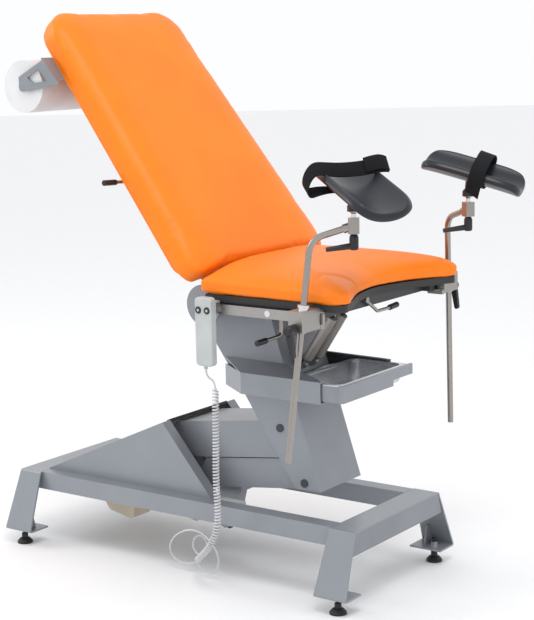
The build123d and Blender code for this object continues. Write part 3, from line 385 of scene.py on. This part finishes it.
def button_face(name, x):
    """Black button with a pale raised centre; x places its axis."""
    material, tree, shader = new_material(name)
    coords = tree.nodes.new("ShaderNodeTexCoord")
    flat = tree.nodes.new("ShaderNodeVectorMath")
    flat.operation = "MULTIPLY"
    flat.inputs[1].default_value = (1, 0, 1)
    tree.links.new(coords.outputs["Object"], flat.inputs[0])
    reach = tree.nodes.new("ShaderNodeVectorMath")
    reach.operation = "DISTANCE"
    reach.inputs[1].default_value = (x, 0, BUTTON_Z)
    tree.links.new(flat.outputs["Vector"], reach.inputs[0])
    scaled = tree.nodes.new("ShaderNodeMapRange")
    scaled.inputs["From Max"].default_value = BUTTON_R
    tree.links.new(reach.outputs["Value"], scaled.inputs["Value"])
    colors = ramp(tree, scaled.outputs["Result"], (0.42, 0.44, 0.44), (0.012, 0.012, 0.015), 0.36, 0.44)
    tree.links.new(colors, shader.inputs["Base Color"])
    fine = noise(tree, 1400, 2)
    tree.links.new(spread(tree, fine.outputs["Fac"], 0.32, 0.46), shader.inputs["Roughness"])
    bump(tree, shader, scaled.outputs["Result"], 0.4, 0.0006)
    return material


for node, x in BUTTONS_X.items():
    nodes[node].data.materials.clear()
    nodes[node].data.materials.append(button_face(f"{node}_face", x))

# ---------------------------------------------------------------- cords
HANDSET_LEAD = millimetres([(208, -327, 606), (208, -327, 586), (226, -315, 574), (226, -315, 556)])
COIL_ROUTE = millimetres([
    (226, -315, 556), (226, -315, 450), (221, -316, 320), (227, -315, 200),
    (197, -312, 138), (150, -288, 98), (108, -250, 70), (80, -222, 52),
])
BASE_LEAD = millimetres([
    (80, -222, 52), (66, -208, 43), (72, -204, 22), (98, -205, 11), (126, -205, 20),
    (140, -204, 50), (128, -203, 84), (100, -201, 110), (62, -199, 126), (18, -197, 118),
    (-22, -195, 94), (-44, -193, 56), (-24, -192, 28), (16, -192, 20), (56, -192, 32),
    (84, -192, 56), (92, -191, 90), (70, -189, 112), (44, -187, 100), (33, -185, 73),
    (48, -183, 49), (77, -181, 60), (93, -176, 92), (96, -160, 125), (95, -140, 145),
    (95, -140, 160),
])
CORD_D = 0.005
COIL_D = 0.019
COIL_PITCH = 0.0085
COIL_TAIL = 0.006                   # length over which each end of the coil narrows to its centreline
COIL_CUTS = (0.42, 0.24)            # heights at which the curly cord is divided
PER_TURN = 12                       # points in each turn of the coil


def line_length(points):
    return sum((q - p).length for p, q in zip(points, points[1:]))


lead = nurbs("handset_lead_cord", HANDSET_LEAD, CORD_D, CORD)
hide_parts("handset_lead")
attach(lead, "seat")
round(line_length(curve_points(HANDSET_LEAD)), 3)

tail = nurbs("base_lead_cord", BASE_LEAD, CORD_D, CORD)
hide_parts("base_lead")
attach(tail, "base")
round(line_length(curve_points(BASE_LEAD)), 3)


def helix(route, radius, pitch):
    """A close coil wound round a route, with both ends drawn in to the centreline."""
    line = curve_points(route)
    spans = [0.0]
    for p, q in zip(line, line[1:]):
        spans.append(spans[-1] + (q - p).length)
    total = spans[-1]
    count = int(total / pitch * PER_TURN)
    side = Vector((0, 1, 0))
    coil = []
    at = 0
    for i in range(count + 1):
        s = total * i / count
        while at < len(spans) - 2 and spans[at + 1] < s:
            at += 1
        p, q = line[at], line[at + 1]
        centre = p.lerp(q, (s - spans[at]) / max(1e-9, spans[at + 1] - spans[at]))
        along = (q - p).normalized()
        side = (side - along * side.dot(along)).normalized()
        other = along.cross(side)
        turn = 2 * math.pi * i / PER_TURN
        swell = min(1, s / COIL_TAIL, (total - s) / COIL_TAIL)
        coil.append(centre + (side * math.cos(turn) + other * math.sin(turn)) * radius * swell)
    return coil


def tube(name, points):
    """A round cord through closely spaced points, as a mesh."""
    curve = nurbs(name, points, CORD_D, CORD)
    curve.data.splines[0].resolution_u = 2
    curve.data.bevel_resolution = 2
    depsgraph = bpy.context.evaluated_depsgraph_get()
    mesh = bpy.data.meshes.new_from_object(curve.evaluated_get(depsgraph))
    spare = curve.data
    bpy.data.objects.remove(curve)
    bpy.data.curves.remove(spare)
    mesh.materials.clear()
    mesh.materials.append(CORD)
    for polygon in mesh.polygons:
        polygon.use_smooth = True
    return add_object(name, mesh)


# The curly cord is three lengths end to end, because it crosses three joints on its way from the
# base to the seat.
coil_points = helix(COIL_ROUTE, (COIL_D - CORD_D) / 2, COIL_PITCH)
cuts = [0]
for height in COIL_CUTS:
    cuts.append(next(i for i, p in enumerate(coil_points) if p.z < height))
cuts.append(len(coil_points) - 1)
COIL_SPANS = (
    ("upper", "column", "seat", COIL_CUTS[0], COIL_ROUTE[0].z),
    ("middle", "upper_arm", "column", COIL_CUTS[1], COIL_CUTS[0]),
    ("lower", "base", "upper_arm", COIL_ROUTE[-1].z, COIL_CUTS[1]),
)
# each span: its name, the bodies at its lower and upper end, and its lowest and highest point
for (label, low_body, high_body, low, high), first, last in zip(COIL_SPANS, cuts, cuts[1:]):
    points = coil_points[first:last + 1]
    path = curve_points(points, steps=2)
    coil = tube(f"curly_cord_{label}", points)
    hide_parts("handset_coil")
    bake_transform(coil)

# ---------------------------------------------------------------- upholstery
SEAT_UNDERSIDE = 0.790              # height of the seat cushion's underside
SEAT_EDGE = 0.52                    # share of its thickness left at the back corners' outline
SEAT_EDGE_DROP = 0.06               # how much less of it is left round the front lobes
SEAT_REACH = 0.21                   # how far in the slope from its outline runs
BACK_FOAM = 0.0605                  # rear face of the back cushion, along BACK_OUT
BACK_EDGE = 0.66                    # share of the back cushion's thickness left at its outline
BACK_REACH = 0.11                   # how far in the slope from its outline runs
BACK_WIDEN = 1.018
BACK_LENGTHEN = 0.008
BACK_WRAP = 0.016                   # how far the cushion's skirt covers the board
BACK_MIDDLE = 0.478                 # half way up the back, from the hinge
BACK_TUCK = 0.022                   # how far its lower edge sags towards the seat
SEAT_TUCK = 0.007                   # how far the seat cushion bulges back to meet it
LOBE_CREASE = (0.572, -0.222, 0.082)  # x, y and radius of the fold round the right front corner
CREASE_DEPTH = 0.006
CREASE_WIDTH = 0.007
PUFF_VOXEL = 0.006                  # grid of the cushion meshes
PUFF_SHRINK = 0.002                 # how far each cushion starts inside its CAD solid
PUFF_CAP = 0.010                    # the furthest that the pressure may move any point
PUFF_PRESSURE = 4.0
PUFF_FRAMES = 20


def smoothstep(value, low, high):
    t = max(0.0, min(1.0, (value - low) / (high - low)))
    return t * t * (3 - 2 * t)


def crown(obj, direction, foot, edge_height, reach, tapers):
    """Thin a slab cushion towards its outline, so that its face rises in a soft crown.

    direction points out of the face and foot is the underside along it. edge_height(point) is the
    share of the thickness left at the outline, reach is how far in the slope runs, and tapers(point)
    says which stretches of the outline are thinned at all."""
    vertices = obj.data.vertices
    rim = [v.co.copy() for v in vertices if abs(v.normal.dot(direction)) < 0.5 and tapers(v.co)]
    tree = KDTree(len(rim))
    for number, point in enumerate(rim):
        tree.insert(point - direction * point.dot(direction), number)
    tree.balance()
    places = []
    for vertex in vertices:
        height = vertex.co.dot(direction)
        flat = vertex.co - direction * height
        share = edge_height(vertex.co)
        inside = tree.find(flat)[2]
        share += (1 - share) * math.sin(min(1, inside / reach) * math.pi / 2)
        places.append(flat + direction * (foot + (height - foot) * share))
    for vertex, place in zip(vertices, places):
        vertex.co = place


def seat_edge(point):
    """Fuller at the back corners, falling away round the front lobes."""
    return SEAT_EDGE - SEAT_EDGE_DROP * smoothstep(point.x, 0.24, 0.50)


def shape_seat(obj):
    up = Vector((0, 0, 1))
    crown(obj, up, SEAT_UNDERSIDE, seat_edge, SEAT_REACH, lambda p: p.x > 0.19 or abs(p.y) > 0.295)
    x0, y0, radius = LOBE_CREASE
    for vertex in obj.data.vertices:
        x, y, z = vertex.co
        # the back edge meets the back cushion
        vertex.co.x = x - SEAT_TUCK * (1 - smoothstep(x, 0.17, 0.23))
        if z < SEAT_UNDERSIDE + 0.012:
            continue
        off = math.hypot(x - x0, y - y0) - radius
        groove = CREASE_DEPTH * math.exp(-((off / CREASE_WIDTH) ** 2))
        vertex.co.z = z - groove * (1 - smoothstep(x, 0.53, 0.60))


def shape_back(obj):
    foot = BACK_HINGE.dot(BACK_OUT) + BACK_FOAM
    crown(
        obj, BACK_OUT, foot, lambda point: BACK_EDGE, BACK_REACH,
        lambda p: (p - BACK_HINGE).dot(BACK_UP) > 0.09,
    )
    for vertex in obj.data.vertices:
        height = (vertex.co - BACK_HINGE).dot(BACK_UP)
        depth = vertex.co.dot(BACK_OUT) - foot
        vertex.co -= BACK_UP * BACK_TUCK * (1 - smoothstep(height, 0.064, 0.14))
        # the covering is drawn round the edges of the board
        vertex.co -= BACK_OUT * BACK_WRAP * (1 - smoothstep(depth, 0.004, 0.020))
        vertex.co += BACK_UP * (height - BACK_MIDDLE) * BACK_LENGTHEN
        vertex.co.y *= BACK_WIDEN


def puffed(node, name, material, body, shape):
    """A cushion blown up by cloth pressure from a slightly smaller copy of its CAD solid."""
    obj = add_object(name, nodes[node].data.copy())
    obj.data.materials.clear()
    remesh = obj.modifiers.new("remesh", "REMESH")
    remesh.mode = "VOXEL"
    remesh.voxel_size = PUFF_VOXEL
    apply_modifiers(obj)
    smooth = obj.modifiers.new("smooth", "SMOOTH")
    smooth.iterations = 3
    apply_modifiers(obj)
    shape(obj)
    normals = [v.normal.copy() for v in obj.data.vertices]
    for vertex, normal in zip(obj.data.vertices, normals):
        vertex.co -= normal * PUFF_SHRINK
    before = [v.co.copy() for v in obj.data.vertices]
    cloth = obj.modifiers.new("cloth", "CLOTH")
    cloth.settings.quality = 4
    cloth.settings.use_pressure = True
    cloth.settings.uniform_pressure_force = PUFF_PRESSURE
    cloth.settings.effector_weights.gravity = 0
    cloth.point_cache.frame_start = 1
    cloth.point_cache.frame_end = PUFF_FRAMES
    for number in range(1, PUFF_FRAMES + 1):
        scene.frame_set(number)
    apply_modifiers(obj)
    scene.frame_set(1)
    for vertex, start in zip(obj.data.vertices, before):
        step = vertex.co - start
        if step.length > PUFF_CAP:
            vertex.co = start + step.normalized() * PUFF_CAP
    smooth = obj.modifiers.new("smooth", "SMOOTH")
    smooth.iterations = 4
    subdivide = obj.modifiers.new("subdivide", "SUBSURF")
    subdivide.levels = 1
    apply_modifiers(obj)
    obj.data.materials.append(material)
    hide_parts(node)
    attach(obj, body)


puffed("seat_pad", "seat_cushion", LEATHER, "seat", shape_seat)
puffed("back_pad", "back_cushion", LEATHER, "backrest", shape_back)

# ---------------------------------------------------------------- leg rest pads and straps
PAD_RADIUS = 0.1147                 # of the trough's outer face
PAD_THICK = 0.020
PAD_ARC = 46                        # half the trough's arc, degrees
PAD_LENGTH = 0.270
PAD_DOWN = 16                       # how far the trough's outer end points down, degrees
PAD_AT = (0.643, 0.270, 1.059)      # a point inside the left trough; the right one mirrors its y
PAD_BELOW = 0.0175                  # how far below that point the trough's outer face lies
PAD_GRID = (25, 17)                 # rows along the trough and columns across it
PAD_ROUND_ENDS = 0.13               # share of the length lost at the outline's corners
PAD_ROUND_SIDES = 0.16              # share of the width lost there
RIM_SWELL = 0.14                    # extra half thickness of the rim, as a share of the thickness
PAD_INSET = 0.0015                  # taken off each face
STRAP_HALF = 0.0195                 # half the webbing's width
STRAP_THICK = 0.003
# side, sideways turn, roll and how far along the pad its strap sits, for each leg rest
LEG_RESTS = {"right": (-1, 32, 0, -0.082), "left": (1, 20, 8, 0.020)}
# strap middle lines in each pad's cross-section: across and up from the trough's centre, mm,
# and how far the webbing leans along the pad there
RIGHT_STRAP = [
    (34, -118, 0), (0, -122, 0), (-44, -113, 0), (-80, -116, 4), (-104, -122, 8), (-113, -102, 10),
    (-106, -74, 10), (-90, -58, 14), (-62, -62, 22), (-24, -66, 24), (24, -65, 24), (62, -60, 24),
    (84, -58, 22), (98, -60, 20),
]
RIGHT_STRAP_END = [(38, -57, 26), (64, -50, 26), (88, -50, 26), (100, -56, 24)]
LEFT_STRAP = [
    (88, -88, 0), (66, -103, 0), (32, -117, 0), (-6, -121, 0), (-44, -113, 0), (-76, -95, 0),
    (-95, -80, 0), (-96, -66, 0), (-82, -57, 0), (-46, -42, 2), (0, -33, 3), (42, -40, 2),
    (76, -55, 0), (92, -64, 0), (98, -76, 0), (88, -88, 0),
]
LEFT_STRAP_END = [(-50, -40, 2), (-84, -50, 4), (-103, -68, 6), (-106, -92, 8), (-98, -122, 10)]


def pad_axes(side, spread_angle, roll):
    """Centre of the trough's circle, and its axis, across and upright directions."""
    out, down, tip = (math.radians(v) for v in (spread_angle, PAD_DOWN, roll))
    axis = Vector((math.cos(out) * math.cos(down), side * math.sin(out) * math.cos(down), -math.sin(down)))
    across = Vector((0, 0, 1)).cross(axis).normalized()
    upright = axis.cross(across)
    across = across * math.cos(tip) + upright * math.sin(tip)
    upright = axis.cross(across)
    x, y, z = PAD_AT
    centre = Vector((x, side * y, z)) + upright * (PAD_RADIUS - PAD_BELOW)
    return centre, axis, across, upright


def leg_pad(hand):
    """Moulded foam trough: rounded outline, thick rolled rim and a thinner middle."""
    side, spread_angle, roll, _ = LEG_RESTS[hand]
    centre, axis, across, upright = pad_axes(side, spread_angle, roll)
    rows, columns = PAD_GRID
    half_length = PAD_LENGTH / 2
    half_arc = PAD_RADIUS * math.radians(PAD_ARC)
    verts = []
    for layer in (1, -1):
        for i in range(rows):
            for j in range(columns):
                u = 2 * i / (rows - 1) - 1
                w = 2 * j / (columns - 1) - 1
                # the grid's corners are drawn in onto a rounded outline
                long_reach = half_length * (1 - PAD_ROUND_ENDS * abs(w) ** 5)
                wide_reach = half_arc * (1 - PAD_ROUND_SIDES * abs(u) ** 6)
                arc = w * wide_reach / PAD_RADIUS
                rim = max(abs(u) ** 5, abs(w) ** 4)
                half_thick = (0.5 + RIM_SWELL * rim) * PAD_THICK - PAD_INSET
                radius = PAD_RADIUS + 0.001 - PAD_THICK / 2 + layer * half_thick
                at = centre + axis * (u * long_reach)
                at += (across * math.sin(arc) - upright * math.cos(arc)) * radius
                verts.append(at)
    faces = []
    layer_size = rows * columns
    for i in range(rows - 1):
        for j in range(columns - 1):
            k = i * columns + j
            faces.append((k, k + 1, k + columns + 1, k + columns))
            k += layer_size
            faces.append((k, k + columns, k + columns + 1, k + 1))
    border = list(range(columns))
    border += [i * columns + columns - 1 for i in range(1, rows)]
    border += [(rows - 1) * columns + j for j in range(columns - 2, -1, -1)]
    border += [i * columns for i in range(rows - 2, 0, -1)]
    for k, here in enumerate(border):
        there = border[(k + 1) % len(border)]
        faces.append((there, here, here + layer_size, there + layer_size))
    obj = mesh_object(f"{hand}_leg_cushion", verts, faces)
    subdivide = obj.modifiers.new("subdivide", "SUBSURF")
    subdivide.levels = 2
    apply_modifiers(obj)
    obj.data.materials.append(PAD_SKIN)
    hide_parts(f"{hand}_leg_pad")
    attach(obj, f"{hand}_leg_pad_body")


def webbing(hand, name, section):
    """A strap round a leg pad, from its middle line in the pad's cross-section."""
    side, spread_angle, roll, position = LEG_RESTS[hand]
    centre, axis, across, upright = pad_axes(side, spread_angle, roll)
    line = curve_points(millimetres(section))
    verts = []
    for sideways, height, lean in line:
        middle = centre + across * sideways + upright * height + axis * position
        half = (axis * STRAP_HALF + upright * lean * -0.7).normalized() * STRAP_HALF
        verts += [middle - half, middle, middle + half]
    faces = []
    for i in range(len(line) - 1):
        for j in (0, 1):
            k = 3 * i + j
            faces.append((k, k + 1, k + 4, k + 3))
    obj = mesh_object(name, verts, faces)
    solid = obj.modifiers.new("thickness", "SOLIDIFY")
    solid.thickness = STRAP_THICK
    solid.offset = 0
    bevel = obj.modifiers.new("edges", "BEVEL")
    bevel.width = 0.0006
    bevel.segments = 2
    apply_modifiers(obj)
    obj.data.materials.append(WEBBING)
    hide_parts(f"{hand}_leg_strap")
    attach(obj, f"{hand}_leg_pad_body")


for hand, strap, strap_end in (
    ("right", RIGHT_STRAP, RIGHT_STRAP_END), ("left", LEFT_STRAP, LEFT_STRAP_END),
):
    leg_pad(hand)
    webbing(hand, f"{hand}_strap", strap)
    webbing(hand, f"{hand}_strap_end", strap_end)

# ---------------------------------------------------------------- floor and light
FLOOR = moulded("floor", (0.90, 0.90, 0.905), 0.75, grain=60, depth=0.0003, mottle=0.006)
FLOOR_HALF = 40

corners = [(-FLOOR_HALF, -FLOOR_HALF, 0), (FLOOR_HALF, -FLOOR_HALF, 0)]
corners += [(FLOOR_HALF, FLOOR_HALF, 0), (-FLOOR_HALF, FLOOR_HALF, 0)]
floor = mesh_object("floor", corners, [(0, 1, 2, 3)], smooth=False)
floor.data.materials.append(FLOOR)

world = bpy.data.worlds.new("studio")
scene.world = world
world.use_nodes = True
background = world.node_tree.nodes["Background"]
background.inputs["Color"].default_value = (0.985, 0.99, 1.0, 1)
background.inputs["Strength"].default_value = 1.0


def area_light(name, at, target, size, power):
    light = bpy.data.lights.new(name, "AREA")
    light.shape = "SQUARE"
    light.size = size
    light.energy = power
    obj = add_object(name, light)
    obj.location = at
    obj.rotation_euler = (Vector(target) - Vector(at)).to_track_quat("-Z", "Y").to_euler()


area_light("key_light", (1.6, -1.6, 4.6), (0, 0, 0.7), 1.8, 62)
area_light("rim_light", (-3.4, -1.6, 3.0), (0, 0, 0.9), 1.6, 36)
scene.view_settings.view_transform = "Standard"
